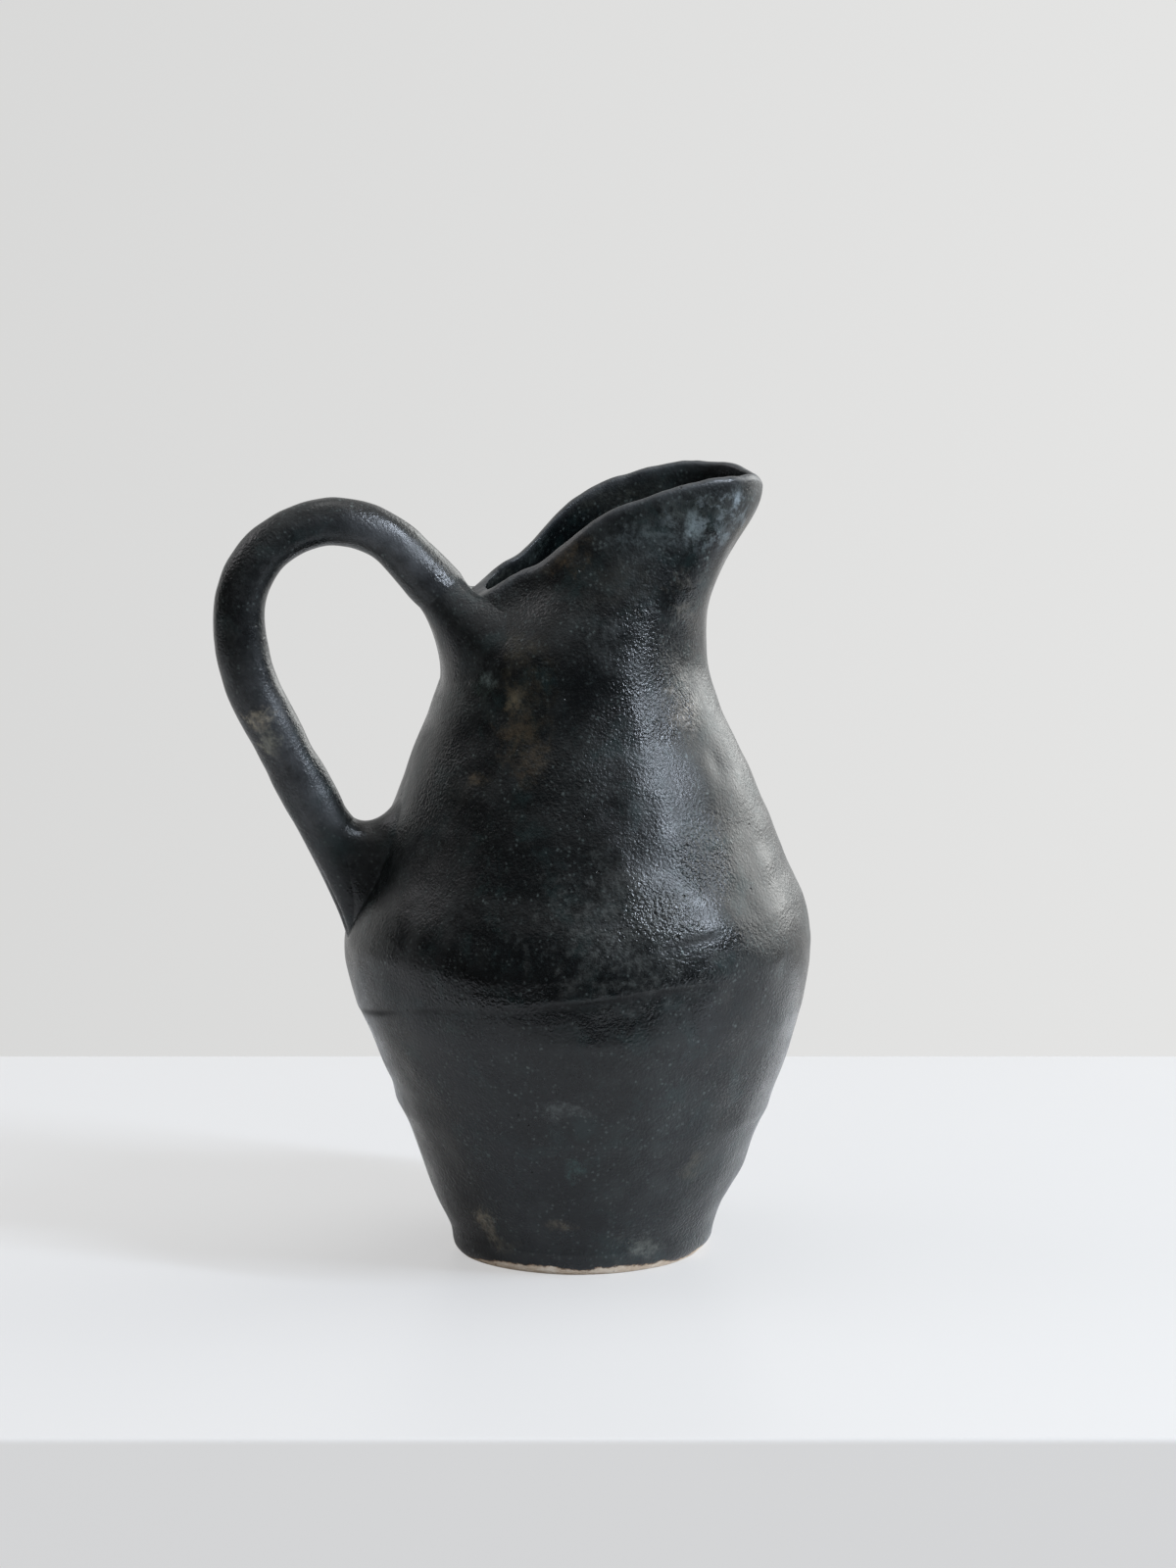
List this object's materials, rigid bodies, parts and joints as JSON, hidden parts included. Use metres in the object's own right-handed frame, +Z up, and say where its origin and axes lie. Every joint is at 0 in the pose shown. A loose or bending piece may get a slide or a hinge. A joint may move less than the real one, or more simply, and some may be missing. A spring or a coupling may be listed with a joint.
{
  "type": "jug",
  "caption": "Hand-built beaked jug with a diamond-shaped body, a cutaway rim and one looped rod handle, in dark satin glaze.",
  "frame": {"origin": "centre of the flat underside of the foot, on the axis of the body", "axes": "+Z up along the body's axis; +X towards the pouring beak, with the handle on -X; +Y to the side"},
  "size_m": [0.1847, 0.1448, 0.2435],
  "materials": {
    "black_glaze": "satin black glaze with a blue-green cast",
    "bare_clay": "unglazed fired clay"
  },
  "bodies": {
    "root": {"floor_slab": "bare_clay", "floor_coil": "black_glaze", "foot_ring": "black_glaze", "lower_ring": "black_glaze", "belly_coil": "black_glaze", "belly_ring": "black_glaze", "shoulder_ring": "black_glaze", "throat_ring": "black_glaze", "beak_ring": "black_glaze", "handle_rod": "black_glaze", "handle_top_root": "black_glaze", "handle_tail": "black_glaze", "crotch_fill": "black_glaze"}
  },
  "joints": []
}
